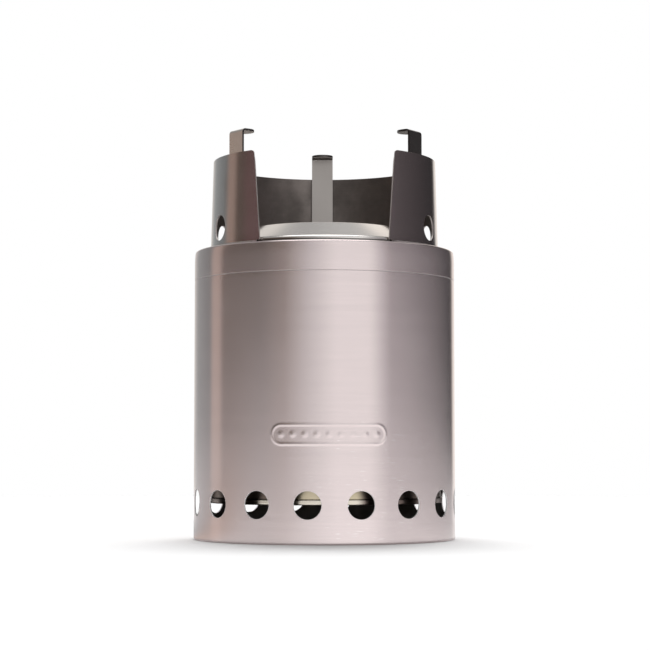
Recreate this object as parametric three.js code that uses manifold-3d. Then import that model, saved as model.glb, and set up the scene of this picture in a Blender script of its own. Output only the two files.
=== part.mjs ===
// Double-walled wood-burning camping stove with a lift-off cooking ring.
// Millimetres, +Z up. The origin is on the ground at the centre of the round base,
// and the feed opening of the cooking ring faces -Y.
// Angles around the stove are in degrees from -Y, growing towards +X.

import * as THREE from 'three';
import { mergeVertices } from 'three/addons/utils/BufferGeometryUtils.js';
import Module from 'manifold-3d';

const wasm = await Module();
wasm.setup();

// ---- driving dimensions -------------------------------------------------------

const GAP = 0.3;                      // clearance between neighbouring sheets
const WALL_FACETS = 48;               // facets round every large turned piece
const WIRE_FACETS = 6;                // facets round a grate wire
const ARC_STEPS = 3;                  // straight steps in a small rounded corner
const DRILL_MARGIN = 2;               // how far a drill or cutter starts outside the sheet

const BODY = { radius: 65, height: 142.8, sheet: 0.8 };
const HEM = { width: 4.5, corner: 1.2 };              // bottom edge, turned inwards
const VENTS = { count: 16, radius: 6.45, facets: 20, height: 18.4, phase: -7 };

const CAP = { skirt: 14.4, corner: 1.2 };
const CAP_JOGGLE = 0.2;               // height over which the wall steps in behind the skirt

const CHAMBER = { outer: 57.8, sheet: 0.6, bottom: 19.3, flange: 61.5 };
const UPPER_HOLES = { count: 24, radius: 2.75, facets: 8, height: 131 };
const LOWER_HOLES = { count: 12, radius: 4.5, facets: 12, height: 30 };

const ASH_PAN = { bottom: 18.2, sheet: 0.8, rim: 58.7, rimHeight: 2.8 };
const ASH_PAN_DISH = { rise: 1.2, radius: 46.1, slope: 3 };

const LEDGE = { outer: 56.9, inner: 51.5, top: 40, depth: 5, sheet: 0.8 };
const WIRE = 1.0;                     // radius of the grate wires
const GRATE_RINGS = { count: 6, smallest: 8, pitch: 9, facets: 40, innerFacets: 20 };
const GRATE_BARS = { spacing: 26, reach: 54.5 };

const RING = { foot: 60.4, bottomRadius: 57, topRadius: 55.8, height: 45.2, sheet: 0.8 };
const FEED = { halfWidthBottom: 30.9, halfWidthTop: 33.9, corner: 1.8 };
const RING_HOLES = { radius: 6.3, facets: 20, rise: 9.8, angles: [-157, -111, -65, 65, 111, 157] };

const COLLAR = { mouth: 39, rise: 11.1, flange: 1.3, sheet: 0.7, bend: 1.6, clearance: 0.4 };

const SUPPORT = { width: 11, sheet: 1, top: 200.2, bottom: 160, reach: 9.7, bend: 1.9 };
const SUPPORT_TIP_STEPS = 12;         // straight steps round the end of a tongue
const SUPPORT_ANGLES = { left: -52.5, right: 55, rear: 181.2 };

// ---- levels and radii that follow from them -----------------------------------

const capSeam = BODY.height - CAP.skirt;
const capUnderside = BODY.height - BODY.sheet;
const wallInner = BODY.radius - BODY.sheet;
const neckOuter = wallInner - GAP;
const neckInner = neckOuter - BODY.sheet;
const chamberInner = CHAMBER.outer - CHAMBER.sheet;
const chamberTop = capUnderside - GAP;
const barLow = LEDGE.top + GAP + WIRE;
const barHigh = barLow + 2 * WIRE + GAP;
const grateRingLevel = barHigh + 2 * WIRE + GAP;
const ringBottom = BODY.height + GAP;
const ringTop = ringBottom + RING.height;

// ---- steel finishes ------------------------------------------------------------

function steel(colour, roughness) {
  return new THREE.MeshStandardMaterial({ color: colour, roughness, metalness: 1 });
}

const brushed = steel(0xc6bdb9, 0.34);
const satin = steel(0xcfc9c5, 0.26);
const sooted = steel(0x6f6864, 0.5);
const dark = steel(0x7b706c, 0.4);
const wireFinish = steel(0x8a8078, 0.45);

// ---- geometry helpers -----------------------------------------------------------

function point(x, y) {
  return new THREE.Vector2(x, y);
}

// Points of a circular arc from angle a to angle b (degrees), both ends included.
function arc(centreX, centreY, radius, a, b, steps = ARC_STEPS) {
  const points = [];
  for (let i = 0; i <= steps; i += 1) {
    const angle = THREE.MathUtils.degToRad(a + ((b - a) * i) / steps);
    points.push(point(centreX + radius * Math.cos(angle), centreY + radius * Math.sin(angle)));
  }
  return points;
}

// A Manifold solid from a closed geometry, turned right side out if it needs it.
function toSolid(geometry) {
  geometry.deleteAttribute('normal');
  geometry.deleteAttribute('uv');
  const merged = mergeVertices(geometry, 1e-4);
  const vertProperties = new Float32Array(merged.attributes.position.array);
  const triVerts = new Uint32Array(dropFlatTriangles(merged.index.array));
  if (signedVolume(vertProperties, triVerts) < 0) {
    for (let i = 0; i < triVerts.length; i += 3) {
      [triVerts[i], triVerts[i + 1]] = [triVerts[i + 1], triVerts[i]];
    }
  }
  return new wasm.Manifold(new wasm.Mesh({ numProp: 3, vertProperties, triVerts }));
}

// Triangles that merging has reduced to a line are left out.
function dropFlatTriangles(index) {
  const kept = [];
  for (let i = 0; i < index.length; i += 3) {
    const [a, b, c] = [index[i], index[i + 1], index[i + 2]];
    if (a !== b && b !== c && c !== a) {
      kept.push(a, b, c);
    }
  }
  return kept;
}

function signedVolume(vertices, triangles) {
  const corner = [new THREE.Vector3(), new THREE.Vector3(), new THREE.Vector3()];
  let volume = 0;
  for (let i = 0; i < triangles.length; i += 3) {
    corner.forEach((vector, k) => vector.fromArray(vertices, 3 * triangles[i + k]));
    volume += corner[0].dot(corner[1].cross(corner[2])) / 6;
  }
  return volume;
}

function toMesh(name, solid, material) {
  const { vertProperties, triVerts } = solid.getMesh();
  const geometry = new THREE.BufferGeometry();
  geometry.setAttribute('position', new THREE.BufferAttribute(vertProperties, 3));
  geometry.setIndex(new THREE.BufferAttribute(triVerts, 1));
  geometry.computeVertexNormals();
  const mesh = new THREE.Mesh(geometry, material);
  mesh.name = name;
  return mesh;
}

// Solid of revolution about Z from a closed outline of (radius, height) points.
function turned(outline, facets = WALL_FACETS) {
  const geometry = new THREE.LatheGeometry([...outline, outline[0]], facets);
  geometry.rotateX(Math.PI / 2);
  return toSolid(geometry);
}

// Prism of an outline, extruded along +Z and then placed by a matrix.
function prism(outline, depth, matrix) {
  const shape = new THREE.Shape(outline);
  const geometry = new THREE.ExtrudeGeometry(shape, { depth, bevelEnabled: false });
  geometry.applyMatrix4(matrix);
  return toSolid(geometry);
}

// Round bar along the radius at a given angle and height, used to drill side holes.
function radialDrill(hole, from, to, height, angle) {
  const geometry = new THREE.CylinderGeometry(hole.radius, hole.radius, to - from, hole.facets);
  geometry.translate(0, -(from + to) / 2, 0);
  geometry.rotateZ(THREE.MathUtils.degToRad(angle));
  geometry.translate(0, 0, height);
  return toSolid(geometry);
}

// Round holes through a sheet that lies between two radii.
function drillRing(solid, hole, angles, height, innerRadius, outerRadius) {
  const from = innerRadius - DRILL_MARGIN;
  const to = outerRadius + DRILL_MARGIN;
  let result = solid;
  for (const angle of angles) {
    result = result.subtract(radialDrill(hole, from, to, height, angle));
  }
  return result;
}

function evenAngles(count, phase = 0) {
  return Array.from({ length: count }, (_, i) => phase + (i * 360) / count);
}

// ---- body ------------------------------------------------------------------------

// Outer wall: hem turned in at the bottom, vents, and a neck stepped in behind the cap.
function outerWall() {
  const { radius, sheet } = BODY;
  const hemInner = radius - HEM.width;
  const stepLevel = capSeam - GAP - CAP_JOGGLE;
  const neckTop = capUnderside - GAP;
  const outline = [
    point(hemInner, 0),
    ...arc(radius - HEM.corner, HEM.corner, HEM.corner, -90, 0),
    point(radius, stepLevel),
    point(neckOuter, stepLevel + CAP_JOGGLE),
    point(neckOuter, neckTop),
    point(neckInner, neckTop),
    point(neckInner, stepLevel + CAP_JOGGLE - sheet),
    point(wallInner, stepLevel - sheet),
    point(wallInner, HEM.corner),
    point(wallInner - HEM.corner + sheet, sheet),
    point(hemInner, sheet),
  ];
  const angles = evenAngles(VENTS.count, VENTS.phase);
  return drillRing(turned(outline), VENTS, angles, VENTS.height, wallInner, radius);
}

// Top cap: flat shoulder with a skirt that carries on the line of the outer wall.
function topCap() {
  const { radius, height, sheet } = BODY;
  const innerCorner = CAP.corner - sheet;
  const outline = [
    point(radius, capSeam),
    ...arc(radius - CAP.corner, height - CAP.corner, CAP.corner, 0, 90),
    point(chamberInner, height),
    point(chamberInner, capUnderside),
    ...arc(wallInner - innerCorner, capUnderside - innerCorner, innerCorner, 90, 0),
    point(wallInner, capSeam),
  ];
  return turned(outline);
}

// Burn chamber: straight inner wall hung from a flange under the cap, with a ring of
// small holes near the top and larger ones below the grate.
function burnChamber() {
  const flangeUnderside = chamberTop - CHAMBER.sheet;
  const outline = [
    point(chamberInner, CHAMBER.bottom),
    point(CHAMBER.outer, CHAMBER.bottom),
    point(CHAMBER.outer, flangeUnderside),
    point(CHAMBER.flange, flangeUnderside),
    point(CHAMBER.flange, chamberTop),
    point(chamberInner, chamberTop),
  ];
  let solid = turned(outline);
  for (const hole of [UPPER_HOLES, LOWER_HOLES]) {
    const angles = evenAngles(hole.count);
    solid = drillRing(solid, hole, angles, hole.height, chamberInner, CHAMBER.outer);
  }
  return solid;
}

// Ash pan: closes the bottom of the chamber, slightly dished, with a turned-up rim.
function ashPan() {
  const { bottom, sheet, rim, rimHeight } = ASH_PAN;
  const { rise, radius, slope } = ASH_PAN_DISH;
  const rimInner = CHAMBER.outer + GAP;
  const outline = [
    point(0, bottom + rise),
    point(radius, bottom + rise),
    point(radius + slope, bottom),
    ...arc(rim - sheet, bottom + sheet, sheet, -90, 0),
    point(rim, bottom + rimHeight),
    point(rimInner, bottom + rimHeight),
    point(rimInner, bottom + sheet),
    point(radius + slope, bottom + sheet),
    point(radius, bottom + sheet + rise),
    point(0, bottom + sheet + rise),
  ];
  return turned(outline);
}

// ---- grate -----------------------------------------------------------------------

// Angle-section ledge round the chamber wall that the grate lies on.
function grateLedge() {
  const { outer, inner, top, depth, sheet } = LEDGE;
  return turned([
    point(inner, top - sheet),
    point(outer - sheet, top - sheet),
    point(outer - sheet, top - depth),
    point(outer, top - depth),
    point(outer, top),
    point(inner, top),
  ]);
}

// One round wire of the grate. The two smallest need fewer facets.
function wireRing(radius) {
  const { smallest, pitch, facets: full, innerFacets } = GRATE_RINGS;
  const facets = radius > smallest + pitch ? full : innerFacets;
  const section = arc(radius, grateRingLevel, WIRE, 0, 360, WIRE_FACETS).slice(0, WIRE_FACETS);
  return turned(section, facets);
}

// Straight wire across the grate, along X or along Y, at a distance from the centre.
function grateBar(alongX, offset, level) {
  const halfLength = Math.sqrt(GRATE_BARS.reach ** 2 - offset ** 2);
  const geometry = new THREE.CylinderGeometry(WIRE, WIRE, 2 * halfLength, WIRE_FACETS);
  if (alongX) {
    geometry.rotateZ(Math.PI / 2);
    geometry.translate(0, offset, level);
  } else {
    geometry.translate(offset, 0, level);
  }
  return toSolid(geometry);
}

// ---- cooking ring ----------------------------------------------------------------

// Wall of the cooking ring: tapered band with a foot that rests on the shoulder,
// six side holes, and a feed opening cut out of the front from top to bottom.
function cookRingWall() {
  const { foot, bottomRadius, topRadius, sheet } = RING;
  const outline = [
    point(bottomRadius - sheet, ringBottom),
    point(foot, ringBottom),
    point(foot, ringBottom + sheet),
    point(bottomRadius, ringBottom + sheet),
    point(topRadius, ringTop),
    point(topRadius - sheet, ringTop),
  ];
  const holeHeight = ringBottom + RING_HOLES.rise;
  const innerRadius = topRadius - sheet;
  const { angles } = RING_HOLES;
  const band = drillRing(turned(outline), RING_HOLES, angles, holeHeight, innerRadius, bottomRadius);
  return band.subtract(feedCutter());
}

// Cutter for the feed opening: a little wider at the top, with its upper corners
// flared so that the arms end in small rounded corners.
function feedCutter() {
  const { halfWidthBottom, halfWidthTop, corner } = FEED;
  const above = ringTop + DRILL_MARGIN;
  const below = ringBottom - DRILL_MARGIN;
  const flare = arc(halfWidthTop + corner, ringTop - corner, corner, 180, 90);
  const rightSide = [point(halfWidthBottom, below), point(halfWidthBottom, ringBottom), ...flare];
  rightSide.push(point(halfWidthTop + corner, above));
  const leftSide = rightSide.map((p) => point(-p.x, p.y)).reverse();
  const matrix = new THREE.Matrix4().makeRotationX(Math.PI / 2);
  return prism([...rightSide, ...leftSide], RING.foot + DRILL_MARGIN, matrix);
}

// Flame collar: short flange inside the ring wall, bent over into a cone that narrows
// towards the mouth.
function flameCollar() {
  const { mouth, rise, flange, sheet, bend, clearance } = COLLAR;
  const outer = RING.bottomRadius - RING.sheet - clearance;
  const bottom = ringBottom + clearance / 2;
  const bendCentre = point(outer - bend, bottom + flange);
  const coneRise = ringBottom + rise - bendCentre.y - bend;
  const coneRun = bendCentre.x - mouth;
  const coneLength = Math.hypot(coneRise, coneRun);
  const normal = point(coneRise / coneLength, coneRun / coneLength);
  const bendEnd = THREE.MathUtils.radToDeg(Math.atan2(coneRun, coneRise));
  const upper = arc(bendCentre.x, bendCentre.y, bend, 0, bendEnd);
  const lower = arc(bendCentre.x, bendCentre.y, bend - sheet, bendEnd, 0);
  const last = upper[upper.length - 1];
  const run = (last.x - mouth) / normal.y;
  const edge = point(last.x - normal.y * run, last.y + normal.x * run);
  return turned([
    point(outer, bottom),
    ...upper,
    edge,
    point(edge.x - normal.x * sheet, edge.y - normal.y * sheet),
    ...lower,
    point(outer - sheet, bottom),
  ]);
}

// Pot support: upright strip inside the ring wall, bent inwards at the top into a
// short round-ended tongue that the pan stands on.
function potSupport(angle) {
  const { width, sheet, top, bottom, reach, bend } = SUPPORT;
  const wallRadius = RING.topRadius - RING.sheet - GAP;
  const outer = Math.sqrt(wallRadius ** 2 - (width / 2) ** 2);
  const bentSheet = [
    point(outer, bottom),
    ...arc(outer - bend, top - bend, bend, 0, 90),
    point(outer - reach, top),
    point(outer - reach, top - sheet),
    ...arc(outer - bend, top - bend, bend - sheet, 90, 0),
    point(outer - sheet, bottom),
  ];
  const across = new THREE.Matrix4().makeRotationX(Math.PI / 2);
  across.setPosition(0, width / 2, 0);
  const half = width / 2;
  const back = outer + DRILL_MARGIN;
  const tip = arc(outer - reach + half, 0, half, 90, 270, SUPPORT_TIP_STEPS);
  const plan = [point(back, -half), point(back, half), ...tip];
  const upwards = new THREE.Matrix4().makeTranslation(0, 0, bottom - DRILL_MARGIN);
  const trim = prism(plan, top - bottom + 2 * DRILL_MARGIN, upwards);
  return prism(bentSheet, width, across).intersect(trim).rotate([0, 0, angle - 90]);
}

// ---- assembly --------------------------------------------------------------------

const stove = new THREE.Group();
const body = new THREE.Group();
const cookingRing = new THREE.Group();
stove.add(body, cookingRing);

body.add(toMesh('outer_wall', outerWall(), brushed));
body.add(toMesh('top_cap', topCap(), brushed));
body.add(toMesh('burn_chamber', burnChamber(), dark));
body.add(toMesh('ash_pan', ashPan(), satin));
body.add(toMesh('grate_ledge', grateLedge(), dark));
for (let i = 0; i < GRATE_RINGS.count; i += 1) {
  const radius = GRATE_RINGS.smallest + i * GRATE_RINGS.pitch;
  body.add(toMesh(`grate_ring_${i + 1}`, wireRing(radius), wireFinish));
}
const halfSpacing = GRATE_BARS.spacing / 2;
body.add(toMesh('grate_bar_left', grateBar(false, -halfSpacing, barLow), wireFinish));
body.add(toMesh('grate_bar_right', grateBar(false, halfSpacing, barLow), wireFinish));
body.add(toMesh('grate_bar_front', grateBar(true, -halfSpacing, barHigh), wireFinish));
body.add(toMesh('grate_bar_rear', grateBar(true, halfSpacing, barHigh), wireFinish));

cookingRing.add(toMesh('cook_ring_wall', cookRingWall(), sooted));
cookingRing.add(toMesh('flame_collar', flameCollar(), satin));
for (const [side, angle] of Object.entries(SUPPORT_ANGLES)) {
  cookingRing.add(toMesh(`pot_support_${side}`, potSupport(angle), sooted));
}

export default stove;
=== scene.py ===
import math

import bmesh
import bpy
from mathutils import Matrix, Vector


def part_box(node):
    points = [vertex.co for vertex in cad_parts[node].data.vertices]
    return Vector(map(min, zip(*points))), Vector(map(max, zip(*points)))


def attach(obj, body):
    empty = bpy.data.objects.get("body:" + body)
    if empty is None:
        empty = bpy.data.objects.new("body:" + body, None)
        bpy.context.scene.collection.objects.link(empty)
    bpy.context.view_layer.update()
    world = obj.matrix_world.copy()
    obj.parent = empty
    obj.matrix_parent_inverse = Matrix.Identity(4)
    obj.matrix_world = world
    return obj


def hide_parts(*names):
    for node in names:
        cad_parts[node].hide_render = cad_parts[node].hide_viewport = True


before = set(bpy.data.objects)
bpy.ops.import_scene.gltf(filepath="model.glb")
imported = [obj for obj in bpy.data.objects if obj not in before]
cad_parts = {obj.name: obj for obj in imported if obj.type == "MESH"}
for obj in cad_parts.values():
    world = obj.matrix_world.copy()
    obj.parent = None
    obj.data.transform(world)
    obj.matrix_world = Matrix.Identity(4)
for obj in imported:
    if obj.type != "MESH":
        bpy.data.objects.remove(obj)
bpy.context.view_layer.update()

# The camping stove's looks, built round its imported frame. Metres, +Z up, feed opening
# towards -Y. Angles round the stove are in degrees from -Y, growing towards +X.

MM = 0.001
COLUMNS = 192                     # faces round the large turned sheets

# ---- sizes taken from the frame -------------------------------------------------

_, wall_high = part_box("outer_wall")
cap_low, cap_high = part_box("top_cap")
chamber_low, chamber_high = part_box("burn_chamber")
pan_low, pan_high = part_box("ash_pan")
ledge_low, ledge_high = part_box("grate_ledge")
ring_low, ring_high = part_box("cook_ring_wall")
collar_low, collar_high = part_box("flame_collar")

BODY_RADIUS = wall_high.x
BODY_HEIGHT = cap_high.z
SEAM = cap_low.z

# ---- sizes that a box cannot give ------------------------------------------------

BODY_SHEET = 0.7 * MM
HEM_WIDTH = 4.5 * MM
HEM_CORNER = 0.8 * MM
NECK_STEP = 1.15 * MM
CAP_CORNER = 1.1 * MM
CAP_SHOULDER = 6.2 * MM           # depth of the band that leans in towards the top edge
CAP_LEAN = 0.28 * MM
SEAM_GAP = 0.06 * MM
SEAM_STEP = 1.9 * MM              # height of the slight set-in below the cap's skirt

VENT_COUNT = 16
VENT_PHASE = -7.0
VENT_RADIUS = 6.6 * MM
VENT_EDGE = 0.45 * MM
VENT_HEIGHT = 18.4 * MM
VENT_BAND = 8.2 * MM              # half the height of the band that the vents sit in

CHAMBER_RADIUS = 57.8 * MM
CHAMBER_SHEET = 0.55 * MM
UPPER_HOLES = {"count": 24, "radius": 2.75 * MM, "height": 131 * MM, "band": 4.2 * MM}
LOWER_HOLES = {"count": 12, "radius": 4.5 * MM, "height": 30 * MM, "band": 6.2 * MM}

WIRE_RADIUS = 0.95 * MM

RING_SHEET = 0.7 * MM
RING_BOTTOM_RADIUS = 57.0 * MM
RING_TOP_RADIUS = 55.8 * MM
RING_HOLE_RADIUS = 6.3 * MM
RING_HOLE_HEIGHT = ring_low.z + 9.8 * MM
RING_HOLE_ANGLES = (65, 111, 157, 203, 249, 295)
FEED_HALF_BOTTOM = 30.9 * MM
FEED_HALF_TOP = 33.9 * MM
FEED_CORNER = 1.8 * MM

COLLAR_SHEET = 0.6 * MM
COLLAR_MOUTH = 39.0 * MM
COLLAR_FLANGE = 1.3 * MM
COLLAR_BEND = 1.6 * MM

SUPPORT_WIDTH = 11.0 * MM
SUPPORT_SHEET = 1.0 * MM
SUPPORT_REACH = 9.7 * MM
SUPPORT_BEND = 1.9 * MM
SUPPORT_ANGLES = {"left": -52.5, "right": 55.0, "rear": 181.2}
RING_WALL_CAD = 0.8 * MM          # the frame's ring wall, which the supports stand inside
SUPPORT_GAP = 0.3 * MM
TIP_ANGLES = (12, 24, 36, 48, 60, 70, 78, 84, 88)      # stations round the end of a tongue


# ---- mesh helpers -----------------------------------------------------------------

def around(angle, radius, height):
    turn = math.radians(angle)
    return Vector((radius * math.sin(turn), -radius * math.cos(turn), height))


def arc(centre_r, centre_z, radius, start, end, steps=6):
    """Points of an arc in the (radius, height) plane, both ends included."""
    points = []
    for i in range(steps + 1):
        turn = math.radians(start + (end - start) * i / steps)
        points.append((centre_r + radius * math.cos(turn), centre_z + radius * math.sin(turn)))
    return points


def spaced(start, end, count):
    return [start + (end - start) * i / count for i in range(count + 1)]


class Profile:
    """A line of (radius, height) knots, addressed by the distance along it.

    A long run gets an extra knot near each of its ends, so its shading stays straight.
    """

    NEAR = 0.25 * MM

    def __init__(self, knots):
        plain = [knots[0]]
        for knot in knots[1:]:
            if math.dist(plain[-1], knot) > 1e-7:
                plain.append(knot)
        self.knots = [plain[0]]
        for start, end in zip(plain, plain[1:]):
            length = math.dist(start, end)
            if length > 5 * self.NEAR:
                for share in (self.NEAR / length, 1 - self.NEAR / length):
                    self.knots.append(tuple(a + (b - a) * share for a, b in zip(start, end)))
            self.knots.append(end)
        self.at = [0.0]
        for start, end in zip(self.knots, self.knots[1:]):
            self.at.append(self.at[-1] + math.dist(start, end))

    def between(self, start, end):
        inside = [v for v in self.at if start + 1e-7 < v < end - 1e-7]
        return [start] + inside + [end]

    def place(self, v):
        for i in range(1, len(self.at)):
            if v <= self.at[i] + 1e-9:
                break
        share = (v - self.at[i - 1]) / (self.at[i] - self.at[i - 1])
        (r0, z0), (r1, z1) = self.knots[i - 1], self.knots[i]
        return r0 + (r1 - r0) * share, z0 + (z1 - z0) * share

    def rise_to(self, height):
        """Distance along the profile where it first climbs past a height."""
        for i in range(1, len(self.at)):
            (_, z0), (_, z1) = self.knots[i - 1], self.knots[i]
            if z0 <= height <= z1 and z1 > z0:
                return self.at[i - 1] + (self.at[i] - self.at[i - 1]) * (height - z0) / (z1 - z0)
        raise ValueError("the profile never reaches that height")


class Skin:
    """Faces laid out in (angle, distance along a profile), wrapped round Z at the end."""

    def __init__(self):
        self.points = []
        self.index = {}
        self.faces = []
        self.splits = {}

    def vertex(self, u, v):
        key = (round(u % 360.0, 4) % 360.0, round(v, 7))
        if key not in self.index:
            self.index[key] = len(self.points)
            self.points.append((u, v))
        return self.index[key]

    def split(self, start, end, count):
        """Faces on both sides of this edge share count - 1 points along it."""
        inner = [
            self.vertex(start[0] + (end[0] - start[0]) * i / count,
                        start[1] + (end[1] - start[1]) * i / count)
            for i in range(1, count)
        ]
        a, b = self.vertex(*start), self.vertex(*end)
        self.splits[(a, b)] = inner
        self.splits[(b, a)] = inner[::-1]

    def face(self, corners):
        ring = [self.vertex(u, v) for u, v in corners]
        full = []
        for a, b in zip(ring, ring[1:] + ring[:1]):
            full.append(a)
            full.extend(self.splits.get((a, b), []))
        self.faces.append(full)

    def grid(self, us, vs, keep=None):
        for u0, u1 in zip(us, us[1:]):
            for v0, v1 in zip(vs, vs[1:]):
                if keep is None or keep((u0 + u1) / 2, (v0 + v1) / 2):
                    self.face([(u0, v0), (u1, v0), (u1, v1), (u0, v1)])

    def hole(self, u, v, half_u, half_v, radius, wall_radius, per_side=12, rings=5, ease=0.8):
        """Quads between a rectangle and a round hole at its centre."""
        outline = []
        for i in range(per_side):
            outline.append((-1 + 2 * i / per_side, -1))
        for i in range(per_side):
            outline.append((1, -1 + 2 * i / per_side))
        for i in range(per_side):
            outline.append((1 - 2 * i / per_side, 1))
        for i in range(per_side):
            outline.append((-1, 1 - 2 * i / per_side))
        circles = []
        for k in range(rings + 1):
            share = (k / rings) ** ease
            ring = []
            for i, (x, y) in enumerate(outline):
                turn = math.radians(-135 + 360 * i / len(outline))
                du = math.degrees(radius * math.cos(turn) / wall_radius)
                dv = radius * math.sin(turn)
                ring.append((u + x * half_u * (1 - share) + du * share,
                             v + y * half_v * (1 - share) + dv * share))
            circles.append(ring)
        count = len(outline)
        for outer, inner in zip(circles, circles[1:]):
            for i in range(count):
                j = (i + 1) % count
                self.face([outer[i], outer[j], inner[j], inner[i]])

    def wrap(self, name, profile, warp=None):
        coords = []
        for u, v in self.points:
            radius, height = profile.place(v)
            if warp is not None:
                u, radius, height = warp(u, radius, height)
            coords.append(around(u, radius, height))
        return new_mesh(name, coords, self.faces)


def new_mesh(name, coords, faces):
    mesh = bpy.data.meshes.new(name)
    mesh.from_pydata([tuple(c) for c in coords], [], faces)
    work = bmesh.new()
    work.from_mesh(mesh)
    bmesh.ops.remove_doubles(work, verts=work.verts, dist=1e-7)
    for face in work.faces:
        face.smooth = True
    work.to_mesh(mesh)
    work.free()
    obj = bpy.data.objects.new(name, mesh)
    bpy.context.scene.collection.objects.link(obj)
    return obj


INSIDE, CUT_EDGE = 1, 2           # material slots of a thickened sheet, after its outside


def thicken(obj, sheet, edge=0.12 * MM):
    """Gives a skin its sheet thickness and small rounded edges."""
    solid = obj.modifiers.new("sheet", "SOLIDIFY")
    solid.thickness = sheet
    solid.offset = -1
    solid.material_offset = INSIDE
    solid.material_offset_rim = CUT_EDGE
    solid.use_even_offset = True
    solid.use_quality_normals = True
    bevel = obj.modifiers.new("edges", "BEVEL")
    bevel.width = edge
    bevel.segments = 2
    bevel.limit_method = "ANGLE"
    bevel.angle_limit = math.radians(50)
    bevel.harden_normals = True
    bevel.material = CUT_EDGE
    return obj


def turned_sheet(name, knots, sheet, columns=COLUMNS):
    """A round sheet turned from the profile of its outer side."""
    profile = Profile(knots)
    skin = Skin()
    skin.grid(spaced(0, 360, columns), profile.at)
    return thicken(skin.wrap(name, profile), sheet)


def hole_row(skin, holes, phase, middle, half_band, wall_radius, per_side, **spacing):
    """A full band of equal cells, each with a round hole in it."""
    pitch = 360 / holes["count"]
    for i in range(holes["count"]):
        skin.hole(phase + i * pitch, middle, pitch / 2, half_band, holes["radius"],
                  wall_radius, per_side, **spacing)


# ---- body ------------------------------------------------------------------------

def build_outer_wall():
    hem_inner = BODY_RADIUS - HEM_WIDTH
    neck = BODY_RADIUS - NECK_STEP
    knots = [(hem_inner, 0.0)]
    knots += arc(BODY_RADIUS - HEM_CORNER, HEM_CORNER, HEM_CORNER, -90, 0, 6)
    knots += [(BODY_RADIUS, SEAM - SEAM_STEP - 0.5 * MM)]
    knots += [(BODY_RADIUS - 0.01 * MM, SEAM - SEAM_STEP)]
    knots += [(BODY_RADIUS - 0.05 * MM, SEAM - 0.3 * MM)]
    knots += [(BODY_RADIUS - 0.14 * MM, SEAM - SEAM_GAP)]
    knots += [(neck, SEAM + 0.1 * MM), (neck, wall_high.z)]
    profile = Profile(knots)
    pitch = 360 / VENT_COUNT
    per_side = COLUMNS // VENT_COUNT
    us = spaced(VENT_PHASE - pitch / 2, VENT_PHASE - pitch / 2 + 360, COLUMNS)
    band_low = profile.rise_to(VENT_HEIGHT - VENT_BAND)
    middle = profile.rise_to(VENT_HEIGHT)
    band_high = profile.rise_to(VENT_HEIGHT + VENT_BAND)
    skin = Skin()
    emblem_cells(skin, profile, us)
    skin.grid(us, profile.between(0.0, band_low))
    vents = {"count": VENT_COUNT, "radius": VENT_RADIUS}
    hole_row(skin, vents, VENT_PHASE, middle, VENT_BAND, BODY_RADIUS, per_side, rings=3, ease=1.6)
    emblem_low = profile.rise_to(EMBLEM_HEIGHT - EMBLEM_BAND)
    emblem_high = profile.rise_to(EMBLEM_HEIGHT + EMBLEM_BAND)
    rows = spaced(band_high, emblem_low, 3)
    rows += profile.between(emblem_high, profile.at[-1])
    skin.grid(us, rows, lambda u, v: not in_emblem_field(u, v, emblem_low, emblem_high))
    wall = skin.wrap("outer_wall_sheet", profile, emblem_relief)
    return thicken(wall, BODY_SHEET, VENT_EDGE)


# The plain embossed panel on the front: a raised outline with round ends and a row
# of beads along its middle. It carries no lettering.

EMBLEM_ANGLE = 2.0
EMBLEM_HEIGHT = 51.4 * MM
EMBLEM_BAND = 6.5 * MM
EMBLEM_HALF_LENGTH = 27.4 * MM
EMBLEM_HALF_WIDTH = 4.5 * MM
EMBLEM_RISE = 0.24 * MM
EMBLEM_LINE = 0.9 * MM
EMBLEM_BEADS = 9
EMBLEM_BEAD_RADIUS = 2.1 * MM
EMBLEM_FIELD = 33.0               # degrees from its centre to the edge of the fine mesh
EMBLEM_FINE = {"across": 5, "up": 34}


def in_emblem_field(u, v, low, high):
    offset = (u - EMBLEM_ANGLE + 180) % 360 - 180
    return abs(offset) < EMBLEM_FIELD and low < v < high


def emblem_cells(skin, profile, us):
    """A finer grid over the emblem, joined to the coarse one along its four sides."""
    low = profile.rise_to(EMBLEM_HEIGHT - EMBLEM_BAND)
    high = profile.rise_to(EMBLEM_HEIGHT + EMBLEM_BAND)
    across, up = EMBLEM_FINE["across"], EMBLEM_FINE["up"]
    middle = (low + high) / 2
    cells = [(a, b) for a, b in zip(us, us[1:]) if in_emblem_field((a + b) / 2, middle, low, high)]
    for a, b in cells:
        skin.split((a, low), (b, low), across)
        skin.split((a, high), (b, high), across)
    starts = {round(a % 360, 4) for a, _ in cells}
    ends = {round(b % 360, 4) for _, b in cells}
    for a, b in cells:
        if round(a % 360, 4) not in ends:
            skin.split((a, low), (a, high), up)
        if round(b % 360, 4) not in starts:
            skin.split((b, low), (b, high), up)
    for a, b in cells:
        fine_us = spaced(a, b, across)
        fine_vs = spaced(low, high, up)
        for u0, u1 in zip(fine_us, fine_us[1:]):
            for v0, v1 in zip(fine_vs, fine_vs[1:]):
                ring = [skin.vertex(*p) for p in ((u0, v0), (u1, v0), (u1, v1), (u0, v1))]
                skin.faces.append(ring)


def smooth_bump(distance, width):
    """1 at no distance, easing to 0 at the width."""
    if distance >= width:
        return 0.0
    share = 1 - distance / width
    return share * share * (3 - 2 * share)


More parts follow.
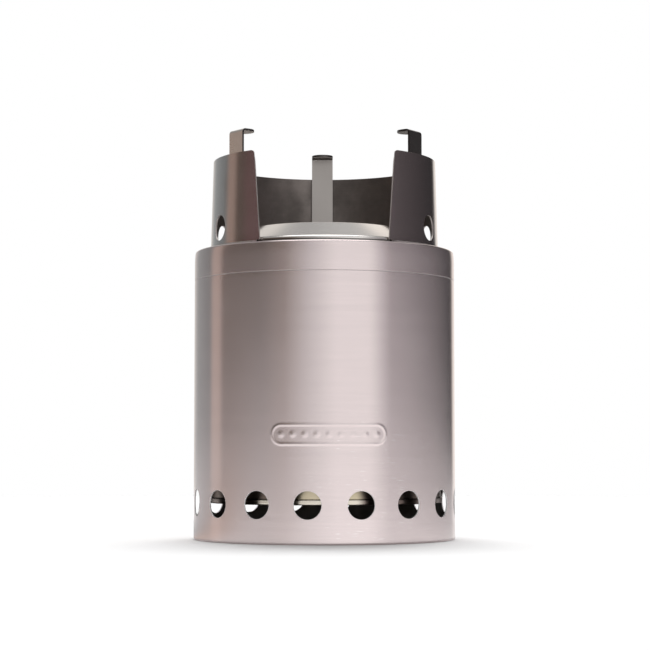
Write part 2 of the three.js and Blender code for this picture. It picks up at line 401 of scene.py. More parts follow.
def emblem_relief(u, radius, height):
    """Raises the emblem out of the wall."""
    offset = (u - EMBLEM_ANGLE + 180) % 360 - 180
    x = math.radians(offset) * BODY_RADIUS
    y = height - EMBLEM_HEIGHT
    if abs(x) > EMBLEM_HALF_LENGTH + 3 * MM or abs(y) > EMBLEM_BAND:
        return u, radius, height
    straight = EMBLEM_HALF_LENGTH - EMBLEM_HALF_WIDTH
    past_end = max(abs(x) - straight, 0.0)
    outline = abs(math.hypot(past_end, y) - EMBLEM_HALF_WIDTH)
    lift = smooth_bump(outline, EMBLEM_LINE)
    pitch = 2 * straight / (EMBLEM_BEADS - 1)
    nearest = max(-straight, min(straight, round(x / pitch) * pitch))
    lift = max(lift, smooth_bump(math.hypot(x - nearest, y), EMBLEM_BEAD_RADIUS))
    return u, radius + EMBLEM_RISE * lift, height


def build_top_cap():
    mouth = CHAMBER_RADIUS - CHAMBER_SHEET
    knots = [(BODY_RADIUS - 0.015 * MM, SEAM), (BODY_RADIUS, SEAM + 0.12 * MM)]
    knots += [(BODY_RADIUS, BODY_HEIGHT - CAP_SHOULDER)]
    for share in (0.25, 0.5, 0.75):
        height = BODY_HEIGHT - CAP_SHOULDER + (CAP_SHOULDER - CAP_CORNER) * share
        knots += [(BODY_RADIUS - CAP_LEAN * share * share, height)]
    corner_radius = BODY_RADIUS - CAP_LEAN - CAP_CORNER
    knots += arc(corner_radius, BODY_HEIGHT - CAP_CORNER, CAP_CORNER, 0, 90, 8)
    knots += [(BODY_RADIUS - 3.2 * MM, BODY_HEIGHT)]
    knots += [(mouth + 0.5 * MM, BODY_HEIGHT), (mouth, BODY_HEIGHT - 0.12 * MM)]
    return turned_sheet("top_cap_sheet", knots, BODY_SHEET)


def build_burn_chamber():
    flange_low = chamber_high.z - CHAMBER_SHEET
    knots = [(CHAMBER_RADIUS, chamber_low.z), (CHAMBER_RADIUS, flange_low - 1.0 * MM)]
    knots += arc(CHAMBER_RADIUS + 1.0 * MM, flange_low - 1.0 * MM, 1.0 * MM, 180, 90, 4)
    knots += [(chamber_high.x, flange_low)]
    profile = Profile(knots)
    skin = Skin()
    rows = []
    for holes in (LOWER_HOLES, UPPER_HOLES):
        low = profile.rise_to(holes["height"] - holes["band"])
        high = profile.rise_to(holes["height"] + holes["band"])
        per_side = COLUMNS // holes["count"]
        phase = VENT_PHASE - 360 / VENT_COUNT / 2 + 180 / holes["count"]
        hole_row(skin, holes, phase, (low + high) / 2, (high - low) / 2, CHAMBER_RADIUS, per_side)
        rows.append((low, high))
    start = VENT_PHASE - 360 / VENT_COUNT / 2
    us = spaced(start, start + 360, COLUMNS)
    skin.grid(us, profile.between(0.0, rows[0][0]))
    skin.grid(us, spaced(rows[0][1], rows[1][0], 4))
    skin.grid(us, profile.between(rows[1][1], profile.at[-1]))
    return thicken(skin.wrap("burn_chamber_sheet", profile), CHAMBER_SHEET)


def build_ash_pan():
    rim, bottom, top = pan_high.x, pan_low.z, pan_high.z
    dish, dish_radius = 1.2 * MM, CHAMBER_RADIUS - 11.7 * MM
    knots = [(0.0, bottom + dish)]
    for radius in (12 * MM, 24 * MM):
        knots += [(radius, bottom + dish), (radius + 0.6 * MM, bottom + dish - 0.5 * MM)]
        knots += [(radius + 2.4 * MM, bottom + dish - 0.5 * MM), (radius + 3 * MM, bottom + dish)]
    knots += [(dish_radius, bottom + dish), (dish_radius + 1 * MM, bottom + dish - 0.3 * MM)]
    knots += [(dish_radius + 3 * MM, bottom + 0.05 * MM), (dish_radius + 4 * MM, bottom)]
    knots += arc(rim - 0.7 * MM, bottom + 0.7 * MM, 0.7 * MM, -90, 0, 6)
    knots += arc(rim - 0.6 * MM, top - 0.6 * MM, 0.6 * MM, 0, 75, 6)
    return turned_sheet("ash_pan_sheet", knots, 0.4 * MM)


def build_grate_ledge():
    outer, inner, top = ledge_high.x, 51.5 * MM, ledge_high.z
    knots = [(outer, ledge_low.z), (outer, top - 0.9 * MM)]
    knots += arc(outer - 0.9 * MM, top - 0.9 * MM, 0.9 * MM, 0, 90, 5)
    knots += [(inner, top)]
    return turned_sheet("grate_ledge_sheet", knots, 0.7 * MM)


# ---- grate -----------------------------------------------------------------------

def sweep(name, path, radius, closed, sides=14):
    """A round wire along a path in a level plane, with domed ends."""
    coords, faces = [], []
    count = len(path)
    rings = []
    for i, centre in enumerate(path):
        before = path[i - 1] if closed or i else path[i]
        after = path[(i + 1) % count] if closed or i < count - 1 else path[i]
        along = (after - before).normalized()
        side = along.cross(Vector((0, 0, 1))).normalized()
        rings.append((centre, along, side, radius))
    if not closed:
        first, last = rings[0], rings[-1]
        for share in (0.9, 0.55):
            scale = math.sqrt(1 - share * share)
            front = first[0] - first[1] * radius * share
            back = last[0] + last[1] * radius * share
            rings.insert(0, (front, first[1], first[2], radius * scale))
            rings.append((back, last[1], last[2], radius * scale))
        rings.sort(key=lambda ring: (ring[0] - first[0]).dot(first[1]))
    for centre, along, side, size in rings:
        for k in range(sides):
            turn = 2 * math.pi * k / sides
            rise = Vector((0, 0, size * math.sin(turn)))
            coords.append(centre + side * size * math.cos(turn) + rise)
    total = len(rings)
    for i in range(total if closed else total - 1):
        j = (i + 1) % total
        for k in range(sides):
            m = (k + 1) % sides
            faces.append([i * sides + k, i * sides + m, j * sides + m, j * sides + k])
    if not closed:
        faces.append(list(range(sides)))
        faces.append([(total - 1) * sides + k for k in reversed(range(sides))])
    obj = new_mesh(name, coords, faces)
    fix_normals(obj)
    return obj


def fix_normals(obj):
    work = bmesh.new()
    work.from_mesh(obj.data)
    bmesh.ops.recalc_face_normals(work, faces=work.faces)
    work.to_mesh(obj.data)
    work.free()


def build_grate():
    pieces = {}
    for i in range(1, 7):
        low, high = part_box(f"grate_ring_{i}")
        radius, level = high.x - WIRE_RADIUS, (low.z + high.z) / 2
        steps = 48 + 16 * i
        path = [around(360 * k / steps, radius, level) for k in range(steps)]
        pieces[f"grate_ring_{i}"] = sweep(f"grate_ring_{i}_wire", path, WIRE_RADIUS * 0.95, True)
    for side in ("left", "right", "front", "rear"):
        low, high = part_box(f"grate_bar_{side}")
        middle = (low + high) / 2
        reach = (high - low) / 2
        axis = Vector((1, 0, 0)) if reach.x > reach.y else Vector((0, 1, 0))
        half = max(reach.x, reach.y) - WIRE_RADIUS
        path = [middle + axis * t for t in spaced(-half, half, 24)]
        wire = sweep(f"grate_bar_{side}_wire", path, WIRE_RADIUS * 0.98, False)
        pieces[f"grate_bar_{side}"] = wire
    return pieces


# ---- cooking ring ----------------------------------------------------------------

def feed_half_angle(height):
    """Angle from the front to the edge of the feed opening at a height."""
    share = (height - ring_low.z) / (ring_high.z - ring_low.z)
    half_width = FEED_HALF_BOTTOM + (FEED_HALF_TOP - FEED_HALF_BOTTOM) * max(share, 0.0)
    radius = RING_BOTTOM_RADIUS + (RING_TOP_RADIUS - RING_BOTTOM_RADIUS) * share
    return math.degrees(math.asin(half_width / radius))


RING_EDGE = 34.0                  # angle of the feed opening's edge before warping
RING_EASE = 16.0                  # angle over which the warp fades out
FOOT_TRIM = 1.6                   # angle by which the foot stops short of the feed opening


def ring_warp(u, radius, height):
    """Leans the edges of the feed opening outwards and rounds their upper corners."""
    side = 1 if u < 180 else -1
    from_front = u if side > 0 else 360 - u
    share = max(0.0, 1 - (from_front - RING_EDGE) / RING_EASE)
    shifted = from_front + (feed_half_angle(height) - RING_EDGE) * share
    edge = feed_half_angle(height)
    from_edge = math.radians(shifted - edge) * radius
    if from_edge < FEED_CORNER and height > ring_high.z - 3 * FEED_CORNER:
        drop = FEED_CORNER - math.sqrt(max(0.0, FEED_CORNER**2 - (FEED_CORNER - from_edge)**2))
        fade = (height - ring_high.z + 3 * FEED_CORNER) / (3 * FEED_CORNER)
        height -= drop * fade
    return (shifted if side > 0 else 360 - shifted), radius, height


def build_ring_wall():
    foot_top = ring_low.z + RING_SHEET
    heel = 0.8 * MM
    knots = [(ring_high.x, foot_top), (RING_BOTTOM_RADIUS + heel, foot_top)]
    knots += arc(RING_BOTTOM_RADIUS + heel, foot_top + heel, heel, -90, -180, 4)
    knots += [(RING_TOP_RADIUS, ring_high.z)]
    profile = Profile(knots)
    half_cell = 9.0
    heel_at = profile.rise_to(foot_top + heel)
    middle = profile.rise_to(RING_HOLE_HEIGHT)
    half_band = 7.6 * MM
    low, high = middle - half_band, middle + half_band
    per_side = 10
    edges = [0.0, 0.15, 0.35, 0.6, 0.9, 1.25, 1.8, 2.6]
    near = [RING_EDGE + math.degrees(e * MM / RING_BOTTOM_RADIUS) for e in edges]
    us = near + spaced(near[-1], RING_HOLE_ANGLES[0] - half_cell, 14)[1:]
    for angle, following in zip(RING_HOLE_ANGLES, RING_HOLE_ANGLES[1:]):
        us += spaced(angle - half_cell, angle + half_cell, per_side)[1:]
        us += spaced(angle + half_cell, following - half_cell, 15)[1:]
    last = RING_HOLE_ANGLES[-1]
    us += spaced(last - half_cell, last + half_cell, per_side)[1:]
    us += [360 - u for u in reversed(us[:len(near) + 13])]
    top_rows = spaced(high, profile.at[-1] - 3 * FEED_CORNER, 5)
    top_rows += [profile.at[-1] - x * MM for x in (4.2, 3.0, 2.1, 1.4, 0.8, 0.3, 0.0)]

    def solid_here(u, _):
        return all(abs(u - angle) > half_cell for angle in RING_HOLE_ANGLES)

    def foot_here(u, v):
        return v > heel_at or RING_EDGE + FOOT_TRIM < u < 360 - RING_EDGE - FOOT_TRIM

    skin = Skin()
    skin.grid(us, profile.between(0.0, low), foot_here)
    skin.grid(us, spaced(low, high, per_side), solid_here)
    for angle in RING_HOLE_ANGLES:
        skin.hole(angle, middle, half_cell, half_band, RING_HOLE_RADIUS, RING_BOTTOM_RADIUS,
                  per_side)
    skin.grid(us, top_rows)
    return thicken(skin.wrap("cook_ring_sheet", profile, ring_warp), RING_SHEET, 0.15 * MM)


def build_collar():
    outer, bottom, top = collar_high.x, collar_low.z, collar_high.z
    lip = 0.5 * MM
    bend_r, bend_z = outer - COLLAR_BEND, bottom + COLLAR_FLANGE
    rise, run = top - lip - bend_z - COLLAR_BEND, bend_r - COLLAR_MOUTH
    slope = math.degrees(math.atan2(rise, run))
    knots = [(outer, bottom)] + arc(bend_r, bend_z, COLLAR_BEND, 0, 90 - slope, 10)
    start_r, start_z = knots[-1]
    run = start_r - COLLAR_MOUTH - lip
    for share in (0.33, 0.66, 1.0):
        knots += [(start_r - run * share, start_z + math.tan(math.radians(slope)) * run * share)]
    end_r, end_z = knots[-1]
    knots += [(end_r - 0.35 * lip, end_z + 0.05 * lip), (end_r - 0.6 * lip, end_z - 0.25 * lip)]
    return turned_sheet("flame_collar_sheet", knots, COLLAR_SHEET)


def build_support(side):
    """A strip that stands inside the ring and bends in to a round-ended tongue."""
    low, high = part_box(f"pot_support_{side}")
    wall_radius = RING_TOP_RADIUS - RING_WALL_CAD - SUPPORT_GAP
    outer = math.sqrt(wall_radius**2 - (SUPPORT_WIDTH / 2) ** 2)
    top, bottom, half = high.z, low.z, SUPPORT_WIDTH / 2
    profile = Profile(
        [(outer, bottom), (outer, (top + bottom) / 2)]
        + arc(outer - SUPPORT_BEND, top - SUPPORT_BEND, SUPPORT_BEND, 0, 90, 8)
        + [(outer - SUPPORT_REACH, top)]
    )
    total = profile.at[-1]
    tip = total - half
    stations = spaced(0, tip * 0.5, 4) + profile.at[1:-1] + [tip]
    stations = sorted({round(s, 7) for s in stations if s <= tip + 1e-9})
    stations += [tip + half * math.sin(math.radians(a)) for a in TIP_ANGLES]
    across = 10
    coords, faces = [], []
    for s in stations:
        reach = half if s <= tip else math.sqrt(max(half**2 - (s - tip) ** 2, 0.0))
        radius, height = profile.place(s)
        for k in range(across + 1):
            x = -reach + 2 * reach * k / across
            coords.append(Vector((x, -radius, height)))
    for i in range(len(stations) - 1):
        for k in range(across):
            a = i * (across + 1) + k
            faces.append([a, a + 1, a + across + 2, a + across + 1])
    obj = new_mesh(f"pot_support_{side}_strip", coords, faces)
    obj.data.transform(Matrix.Rotation(math.radians(SUPPORT_ANGLES[side]), 4, "Z"))
    return thicken(obj, SUPPORT_SHEET, 0.18 * MM)


# ---- materials -------------------------------------------------------------------

class Nodes:
    """Short names for the shader nodes that the finishes are made of."""

    def __init__(self, name):
        self.material = bpy.data.materials.new(name)
        self.material.use_nodes = True
        self.tree = self.material.node_tree
        self.shader = self.tree.nodes["Principled BSDF"]
        self.coords = self.tree.nodes.new("ShaderNodeTexCoord").outputs["Object"]

    def link(self, output, socket):
        self.tree.links.new(output, socket)

    def noise(self, scale, detail=3.0, roughness=0.5, stretch=(1, 1, 1)):
        """Noise with a number of cells per metre, squeezed along the axes by stretch."""
        mapping = self.tree.nodes.new("ShaderNodeMapping")
        mapping.inputs["Scale"].default_value = stretch
        self.link(self.coords, mapping.inputs["Vector"])
        texture = self.tree.nodes.new("ShaderNodeTexNoise")
        texture.inputs["Scale"].default_value = scale
        texture.inputs["Detail"].default_value = detail
        texture.inputs["Roughness"].default_value = roughness
        self.link(mapping.outputs["Vector"], texture.inputs["Vector"])
        return texture.outputs["Fac"]

    def along(self, axis):
        split = self.tree.nodes.new("ShaderNodeSeparateXYZ")
        self.link(self.coords, split.inputs["Vector"])
        return split.outputs[axis]

    def spread(self, value, low, high, to_low=0.0, to_high=1.0, smooth=True):
        node = self.tree.nodes.new("ShaderNodeMapRange")
        node.interpolation_type = "SMOOTHSTEP" if smooth else "LINEAR"
        node.inputs["From Min"].default_value = low
        node.inputs["From Max"].default_value = high
        node.inputs["To Min"].default_value = to_low
        node.inputs["To Max"].default_value = to_high
        self.link(value, node.inputs["Value"])
        return node.outputs["Result"]

    def maths(self, operation, a, b):
        node = self.tree.nodes.new("ShaderNodeMath")
        node.operation = operation
        for socket, value in zip(node.inputs, (a, b)):
            if isinstance(value, (int, float)):
                socket.default_value = value
            else:
                self.link(value, socket)
        return node.outputs["Value"]

    def mix(self, share, first, second, blend="MIX"):
        node = self.tree.nodes.new("ShaderNodeMix")
        node.data_type = "RGBA"
        node.blend_type = blend
        for name, value in (("Factor", share), ("A", first), ("B", second)):
            socket = next(s for s in node.inputs if s.name == name and s.enabled)
            if isinstance(value, (int, float)):
                socket.default_value = value
            elif isinstance(value, tuple):
                socket.default_value = (*value, 1.0)
            else:
                self.link(value, socket)
        return next(s for s in node.outputs if s.name == "Result" and s.enabled)

    def bump(self, value, distance, strength=1.0, before=None):
        node = self.tree.nodes.new("ShaderNodeBump")
        node.inputs["Distance"].default_value = distance
        node.inputs["Strength"].default_value = strength
        self.link(value, node.inputs["Height"])
        if before is not None:
            self.link(before, node.inputs["Normal"])
        return node.outputs["Normal"]

    def grain_round_z(self, amount):
        """Stretches highlights up and down, across a grain that runs round the stove."""
        tangent = self.tree.nodes.new("ShaderNodeTangent")
        tangent.direction_type = "RADIAL"
        tangent.axis = "Z"
        self.link(tangent.outputs["Tangent"], self.shader.inputs["Tangent"])
        self.shader.inputs["Anisotropic"].default_value = amount
        self.shader.inputs["Anisotropic Rotation"].default_value = 0.25


def brushed_steel(name, colour, rough, grain, streak=1.0, cloud=1.0, tint=None,
                  tint_amount=0.0, soot=0.0, zones=(), zones_end=None, polished=None,
                  nicks=0.0, metal=1.0):
    """Brushed stainless steel: streaked grain, cloudy patches, heat tint and soot.

    A zone is (axis, from, to, colour, amount): a tint that sets in along an axis, used for
    heat tint and for painted shade and highlights. The zones fade out towards the rear,
    between the two values of Y in zones_end.
    Polished is (from, to, share): heights between which the roughness falls to a share.
    Nicks are short bright scratches along the grain.
    """
    n = Nodes(name)
    n.shader.inputs["Metallic"].default_value = metal
    fine = n.noise(55, 3.0, 0.6, (1, 1, 60))
    coarse = n.noise(9, 2.0, 0.5, (1, 1, 32))
    clouds = n.noise(24, 3.0, 0.55)
    patch = n.noise(9, 2.0, 0.5)
    darker = tuple(c * 0.9 for c in colour)
    base = n.mix(n.spread(fine, 0.3, 0.7, 0.0, 0.5 * streak), colour, darker)
    base = n.mix(n.spread(coarse, 0.4, 0.7, 0.0, 0.35 * streak), base, darker)
    base = n.mix(n.spread(clouds, 0.42, 0.75, 0.0, 0.25 * cloud), base, darker)
    if tint is not None:
        base = n.mix(n.spread(patch, 0.35, 0.68, 0.0, tint_amount), base, tint)
    for axis, start, end, zone_colour, amount in zones:
        stray = 0.5 * abs(end - start)
        wander = n.maths("ADD", n.along(axis), n.spread(clouds, 0.2, 0.8, -stray, stray, False))
        share = n.spread(wander, start, end, 0.0, amount)
        if zones_end is not None:
            share = n.maths("MULTIPLY", share, n.spread(n.along("Y"), *zones_end, 1.0, 0.0))
        base = n.mix(share, base, zone_colour)
    if nicks > 0:
        marks = n.spread(n.noise(230, 0.0, 0.5, (1, 1, 12)), 0.77, 0.82)
        marks = n.maths("MULTIPLY", marks, n.spread(patch, 0.5, 0.62, 0.0, nicks))
        base = n.mix(marks, base, (1.0, 0.98, 0.97))
    rough_now = n.spread(clouds, 0.3, 0.75, rough * (1 - 0.1 * cloud), rough * (1 + 0.15 * cloud))
    if soot > 0:
        smoke = n.noise(26, 5.0, 0.62)
        base = n.mix(n.spread(smoke, 0.38, 0.7, 0.0, soot), base, (0.03, 0.026, 0.023))
        rough_now = n.spread(smoke, 0.35, 0.7, rough, min(rough + 0.3, 0.9))
    if polished is not None:
        start, end, share = polished
        rough_now = n.maths("MULTIPLY", rough_now, n.spread(n.along("Z"), start, end, 1.0, share))
    streaks = n.spread(fine, 0.25, 0.75, -0.02 * streak, 0.025 * streak, False)
    n.link(base, n.shader.inputs["Base Color"])
    n.link(n.maths("ADD", rough_now, streaks), n.shader.inputs["Roughness"])
    lines = n.bump(fine, 0.00001, 0.5 * streak, n.bump(patch, 0.0003, 0.25 * cloud))
    n.link(lines, n.shader.inputs["Normal"])
    if grain > 0:
        n.grain_round_z(grain)
    return n.material


def finish_piece(obj, materials, body, node):
    """Gives a piece its materials, ties it to the frame's body, and hides the frame's own part."""
    obj.data.materials.clear()
    for material in materials:
        obj.data.materials.append(material)
    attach(obj, body)
    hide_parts(node)
    return obj


# ---- studio ----------------------------------------------------------------------

# The studio as the steel sees it, by angle round the stove from the front: a few cards,
# each with how bright it is and its colour, and soft joins between them.
WHITE, COOL = (1.0, 1.0, 1.0), (0.94, 1.0, 1.0)
BROWN, MAUVE = (1.0, 0.82, 0.72), (1.0, 0.94, 0.99)
CREAM = (1.0, 0.94, 0.88)
STUDIO_BANDS = [
    (-180, 1.0, CREAM), (-150, 0.35, COOL), (-120, 0.2, COOL),      # end of the backdrop
    (-115, 0.45, BROWN), (-105, 0.4, BROWN),                        # narrow warm card
    (-100, 0.12, BROWN), (-55, 0.1, BROWN), (-35, 0.2, BROWN),      # dark side of the room
    (-10, 0.6, WHITE), (10, 0.9, WHITE), (40, 0.9, WHITE),          # large soft box
    (60, 0.3, MAUVE), (90, 0.2, MAUVE), (150, 0.05, MAUVE),         # room falling off
    (158, 0.85, CREAM), (180, 1.0, CREAM),                          # white backdrop
]
FLOOR_BANDS = [
    (-180, 0.6, WHITE), (-150, 0.4, COOL), (-110, 0.4, WHITE), (-80, 0.6, BROWN),
    (-50, 0.8, WHITE), (60, 0.95, WHITE), (120, 0.65, WHITE), (180, 0.6, WHITE),
]
FLOOR_GLOW = 1.22                             # brightness of a full level in FLOOR_BANDS
FLOOR_FAR = 0.78                              # the level far from the stove
UPPER_LEFT, UPPER_RIGHT = 0.36, 0.44          # the room above the stove
CEILING = 1.9                                 # a soft box straight overhead
UPPER_FROM, CEILING_FROM = (0.61, 0.67), (0.88, 0.93)      # sine of the elevation of each
FLOOR_AMBIENT = 0.42                          # what the floor paper gets from all round


class StudioNodes:
    """Short names for the nodes that the room and the floor card are made of."""

    def __init__(self, tree):
        self.tree = tree
        self.tree.nodes.clear()

    def put(self, socket, value):
        if isinstance(value, (int, float, tuple)):
            socket.default_value = value
        else:
            self.tree.links.new(value, socket)

    def maths(self, operation, a, b=0.0):
        node = self.tree.nodes.new("ShaderNodeMath")
        node.operation = operation
        self.put(node.inputs[0], a)
        self.put(node.inputs[1], b)
        return node.outputs["Value"]

    def spread(self, value, low, high, to_low=0.0, to_high=1.0):
        node = self.tree.nodes.new("ShaderNodeMapRange")
        node.interpolation_type = "SMOOTHSTEP"
        limits = {"From Min": low, "From Max": high, "To Min": to_low, "To Max": to_high}
        for name, number in limits.items():
            node.inputs[name].default_value = number
        self.put(node.inputs["Value"], value)
        return node.outputs["Result"]

    def mix(self, share, first, second):
        node = self.tree.nodes.new("ShaderNodeMix")
        node.data_type = "RGBA"
        self.put(node.inputs["Factor"], share)
        sockets = [s for s in node.inputs if s.type == "RGBA"]
        self.put(sockets[0], first)
        self.put(sockets[1], second)
        return next(s for s in node.outputs if s.type == "RGBA")

    def bands(self, x, y, bands):
        """A colour for each direction round the stove."""
        angle = self.maths("ARCTAN2", x, self.maths("MULTIPLY", y, -1.0))
        ramp = self.tree.nodes.new("ShaderNodeValToRGB")
        turns = self.maths("DIVIDE", angle, 2 * math.pi)
        self.put(ramp.inputs["Fac"], self.maths("ADD", turns, 0.5))
        stops = ramp.color_ramp.elements
        for i, (degrees, level, tint) in enumerate(bands):
            place = degrees / 360 + 0.5
            stop = stops[i] if i < 2 else stops.new(place)
            stop.position = place
            stop.color = (*(level * c for c in tint), 1.0)
        return ramp.outputs["Color"]

    def background(self, colour):
        node = self.tree.nodes.new("ShaderNodeBackground")
        self.put(node.inputs["Color"], colour)
        return node.outputs["Background"]


def make_world():
    """The room that the steel reflects. The camera sees plain white behind the stove, and
    dull surfaces get one even level from all round."""
    world = bpy.data.worlds.new("studio")
    bpy.context.scene.world = world
    world.use_nodes = True
    w = StudioNodes(world.node_tree)
    coords = w.tree.nodes.new("ShaderNodeTexCoord")
    split = w.tree.nodes.new("ShaderNodeSeparateXYZ")
    w.put(split.inputs["Vector"], coords.outputs["Generated"])
    x, y, z = split.outputs
    upper_level = w.spread(x, -0.08, 0.08, UPPER_LEFT, UPPER_RIGHT)
    lit = w.mix(w.spread(z, *UPPER_FROM), w.bands(x, y, STUDIO_BANDS), upper_level)
    lit = w.mix(w.spread(z, *CEILING_FROM), lit, (CEILING, CEILING, CEILING, 1.0))
    rays = w.tree.nodes.new("ShaderNodeLightPath")
    ambient = (FLOOR_AMBIENT, FLOOR_AMBIENT, FLOOR_AMBIENT, 1.0)
    lit = w.mix(rays.outputs["Is Diffuse Ray"], lit, ambient)
    choose = w.tree.nodes.new("ShaderNodeMixShader")
    w.put(choose.inputs["Fac"], rays.outputs["Is Camera Ray"])
    w.put(choose.inputs[1], w.background(lit))
    w.put(choose.inputs[2], w.background((1.0, 1.0, 1.0, 1.0)))
    out = w.tree.nodes.new("ShaderNodeOutputWorld")
    w.put(out.inputs["Surface"], choose.outputs["Shader"])


KEY_ANGLE = 22.0                  # tilt of the soft key light towards the rear, from overhead
KEY_SOFTNESS = 36.0
KEY_STRENGTH = 2.45


def make_key_light():
    """Lights the floor softly from above and behind, so the shadow falls forwards."""
    data = bpy.data.lights.new("key", "SUN")
    data.energy = KEY_STRENGTH
    data.angle = math.radians(KEY_SOFTNESS)
    key = bpy.data.objects.new("key", data)
    key.rotation_euler = (math.radians(-KEY_ANGLE), 0.0, 0.0)
    key.visible_glossy = False
    bpy.context.scene.collection.objects.link(key)


FLOOR_RADIUS = 0.9
CARD_RADII = (0.0655, 0.068, 0.8)              # where the card starts, is fully lit, and ends
CARD_BLEND = (0.14, 0.4)          # where it goes over from the near levels to the far one
CARD_HEIGHT = 0.5 * MM


def make_floor():
    steps = 96
    coords = [around(360 * i / steps, FLOOR_RADIUS, 0.0) for i in range(steps)]
    floor = new_mesh("floor", coords, [list(range(steps))])
    n = Nodes("floor_paper")
    n.shader.inputs["Base Color"].default_value = (0.93, 0.93, 0.93, 1.0)
    n.shader.inputs["Roughness"].default_value = 0.85
    n.shader.inputs["Specular IOR Level"].default_value = 0.1
    floor.data.materials.append(n.material)


def make_floor_card():
    """A card round the foot of the stove that only shows as a reflection in the steel."""
    steps = 96
    start, lit, end = CARD_RADII
    inner = [around(360 * i / steps, start, CARD_HEIGHT) for i in range(steps)]
    outer = [around(360 * i / steps, end, CARD_HEIGHT) for i in range(steps)]
    rows = [[i, steps + i, steps + (i + 1) % steps, (i + 1) % steps] for i in range(steps)]
    card = new_mesh("floor_card", inner + outer, rows)
    material = bpy.data.materials.new("floor_card_paper")
    material.use_nodes = True
    w = StudioNodes(material.node_tree)
    split = w.tree.nodes.new("ShaderNodeSeparateXYZ")
    w.put(split.inputs["Vector"], w.tree.nodes.new("ShaderNodeTexCoord").outputs["Object"])
    x, y, _ = split.outputs
    square = w.maths("ADD", w.maths("MULTIPLY", x, x), w.maths("MULTIPLY", y, y))
    distance = w.maths("SQRT", square)
    far = (FLOOR_FAR, FLOOR_FAR, FLOOR_FAR, 1.0)
    colour = w.mix(w.spread(distance, *CARD_BLEND), w.bands(x, y, FLOOR_BANDS), far)
    # The dark ring at the inner edge is a painted contact shadow, for the steel's foot to reflect.
    colour = w.mix(w.spread(distance, start, lit), (0.1, 0.1, 0.1, 1.0), colour)
    glow = w.tree.nodes.new("ShaderNodeEmission")
    w.put(glow.inputs["Color"], colour)
    w.put(glow.inputs["Strength"], FLOOR_GLOW)
    out = w.tree.nodes.new("ShaderNodeOutputMaterial")
    w.put(out.inputs["Surface"], glow.outputs["Emission"])
    card.data.materials.append(material)
    card.visible_camera = False
    card.visible_diffuse = False
    card.visible_shadow = False


CAMERA_PLACE = (0.0003, -0.928, 0.0437)
CAMERA_TILT = 3.888               # degrees above level
CAMERA_LENS, CAMERA_SENSOR = 102.6, 36.0


def make_camera():
    data = bpy.data.cameras.new("camera")
    data.sensor_width = CAMERA_SENSOR
    data.lens = CAMERA_LENS
    data.clip_start = 0.05
    data.clip_end = 60.0
    camera = bpy.data.objects.new("camera", data)
    bpy.context.scene.collection.objects.link(camera)
    camera.location = CAMERA_PLACE
    camera.rotation_euler = (math.radians(90 + CAMERA_TILT), 0.0, 0.0)
    bpy.context.scene.camera = camera


# ---- putting it together -----------------------------------------------------------

make_camera()
make_world()
make_key_light()
make_floor()
make_floor_card()

# Soot on the sooted parts; painted shade in the chamber's and the pan's zones.
SOOT_AND_SHADE_BROWN = (0.20, 0.15, 0.135)
# Painted shade on the right of the ring's front.
PAINTED_SHADE_GREY = (0.24, 0.215, 0.21)
# Brown and purple: heat tint on the ring, and partly painted reflection.
HEAT_AND_REFLECTION_BROWN = (0.56, 0.46, 0.43)
HEAT_AND_REFLECTION_PURPLE = (0.74, 0.52, 0.545)
HEAT_STRAW = (0.60, 0.50, 0.33)
# Painted highlight along the ring's right edge.
PAINTED_HIGHLIGHT_EDGE = (0.84, 0.80, 0.79)
# Painted shade on the pot supports, to the left and right.
PAINTED_SHADE_LEFT, PAINTED_SHADE_RIGHT = (0.22, 0.20, 0.19), (0.10, 0.095, 0.09)

# The zones below are tones set at places on the object, along X or Z. On the ring they
# stand for heat tint and for what the steel reflects, as painted reflection, with painted
# shade on its right and a painted highlight at its right edge. On the supports they are
# painted shade, and on the collar a painted shade line at its root. On the chamber and the
# pan they are painted shade for what shows through the front vents: light in the middle,
# and dark to the left and right of it.

body_steel = brushed_steel(
    "body_steel", (0.83, 0.725, 0.72), rough=0.235, grain=0.92, streak=0.6, cloud=0.5,
    polished=(BODY_HEIGHT - 0.8 * MM, BODY_HEIGHT - 0.4 * MM, 0.45), nicks=0.55,
)
# Dark inside of the shells: painted shade for the dark seen through the vents, with soot flecks.
soot_and_shade_inside = brushed_steel("soot_and_shade_inside", (0.16, 0.15, 0.14), rough=0.5, grain=0.0, soot=0.3)
# Cut edges are less metallic than real ones, so that they catch the light as a pale line.
cut_edge = brushed_steel("cut_edge", (0.95, 0.92, 0.91), rough=0.35, grain=0.0, streak=0.3,
                         cloud=0.3, metal=0.25)
ring_edge = brushed_steel("ring_edge", (0.60, 0.55, 0.53), rough=0.35, grain=0.0, streak=0.3,
                          cloud=0.3, metal=0.4)
chamber_steel = brushed_steel(
    "chamber_steel", (0.78, 0.68, 0.50), rough=0.34, grain=0.5, tint=HEAT_STRAW,
    tint_amount=0.3,
    # Both brown zones are painted shade, dark to the left and right of what the front vents show.
    zones=[("X", -0.010, -0.019, SOOT_AND_SHADE_BROWN, 0.9), ("X", 0.016, 0.021, SOOT_AND_SHADE_BROWN, 0.95)],
)
sooted_steel = brushed_steel("sooted_steel", (0.40, 0.36, 0.33), rough=0.4, grain=0.5,
                             tint=SOOT_AND_SHADE_BROWN, tint_amount=0.6, soot=0.6)
pan_steel = brushed_steel(
    "ash_pan_steel", (0.90, 0.84, 0.74), rough=0.28, grain=0.3, tint=(0.66, 0.56, 0.40),
    tint_amount=0.2,
    # Both brown zones are painted shade, dark to the left and right of what the front vents show.
    zones=[("X", -0.029, -0.034, SOOT_AND_SHADE_BROWN, 0.9), ("X", 0.016, 0.021, SOOT_AND_SHADE_BROWN, 0.95)],
)
wire_steel = brushed_steel("grate_wire_steel", (0.36, 0.33, 0.31), rough=0.42, grain=0.0,
                           tint=SOOT_AND_SHADE_BROWN, tint_amount=0.6, soot=0.45)
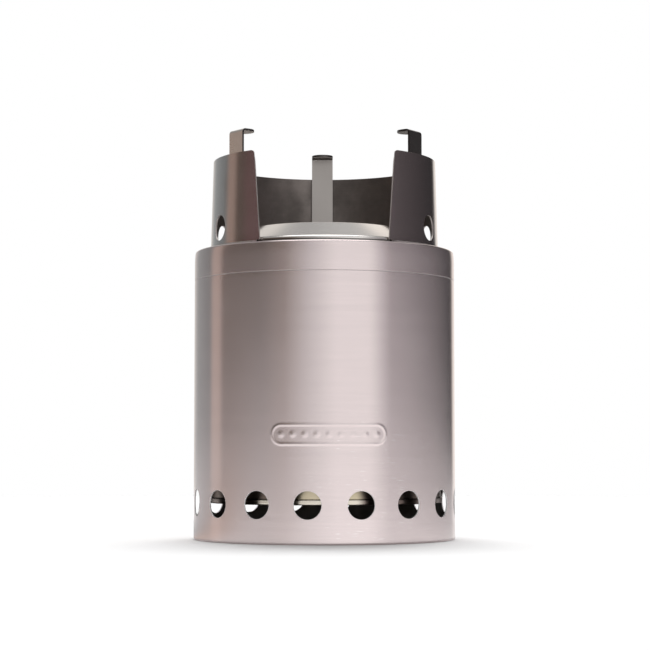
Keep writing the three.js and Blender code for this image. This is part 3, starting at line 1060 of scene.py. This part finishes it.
ring_steel = brushed_steel(
    "ring_steel", (0.76, 0.72, 0.71), rough=0.22, grain=0.88, streak=0.5, cloud=0.6,
    tint=(0.52, 0.45, 0.45), tint_amount=0.3,
    zones=[
        # Brown and purple: heat tint and painted reflection; grey: painted shade; pale: painted
        # highlight.
        ("X", -0.0495, -0.0455, HEAT_AND_REFLECTION_BROWN, 0.85), ("X", -0.041, -0.036, HEAT_AND_REFLECTION_PURPLE, 0.9),
        ("X", 0.020, 0.034, PAINTED_SHADE_GREY, 0.9), ("X", 0.0528, 0.0545, PAINTED_HIGHLIGHT_EDGE, 0.9),
    ],
    zones_end=(-0.008, 0.022),
)
ring_inside = brushed_steel("ring_inside", (0.32, 0.28, 0.26), rough=0.34, grain=0.6,
                            tint=SOOT_AND_SHADE_BROWN, tint_amount=0.6, soot=0.35)
collar_steel = brushed_steel(
    "collar_steel", (0.90, 0.86, 0.83), rough=0.16, grain=0.5, streak=0.4, cloud=0.4,
    tint=(0.78, 0.71, 0.62), tint_amount=0.3,
    # A dark line round the collar's root: painted shade where it meets the cap.
    zones=[("Z", 0.1449, 0.1444, (0.10, 0.09, 0.085), 0.85)],
)
support_steel = brushed_steel(
    "support_steel", (0.90, 0.84, 0.79), rough=0.3, grain=0.3, streak=0.5, cloud=1.0,
    tint=(0.66, 0.58, 0.54), tint_amount=0.4,
    # The two darker zones are painted shade.
    zones=[("X", -0.03, -0.01, PAINTED_SHADE_LEFT, 0.7), ("X", 0.02, 0.036, PAINTED_SHADE_RIGHT, 0.8)],
)
support_edge = brushed_steel("support_edge", (0.12, 0.11, 0.105), rough=0.35, grain=0.0)

BODY, RING = "stove_body", "cooking_ring"
shell = [body_steel, soot_and_shade_inside, cut_edge]
finish_piece(build_outer_wall(), shell, BODY, "outer_wall")
cap_sides = [body_steel, soot_and_shade_inside, body_steel]
finish_piece(build_top_cap(), cap_sides, BODY, "top_cap")
chamber_sides = [chamber_steel, sooted_steel, chamber_steel]
finish_piece(build_burn_chamber(), chamber_sides, BODY, "burn_chamber")
finish_piece(build_ash_pan(), [pan_steel, sooted_steel, pan_steel], BODY, "ash_pan")
finish_piece(build_grate_ledge(), [sooted_steel] * 3, BODY, "grate_ledge")
for node, wire in build_grate().items():
    finish_piece(wire, [wire_steel], BODY, node)

ring_sides = [ring_steel, ring_inside, ring_edge]
finish_piece(build_ring_wall(), ring_sides, RING, "cook_ring_wall")
collar_sides = [collar_steel, sooted_steel, collar_steel]
finish_piece(build_collar(), collar_sides, RING, "flame_collar")
for side in SUPPORT_ANGLES:
    support = build_support(side)
    support_sides = [support_steel, support_steel, support_edge]
    finish_piece(support, support_sides, RING, f"pot_support_{side}")

bpy.context.scene.view_settings.view_transform = "Standard"
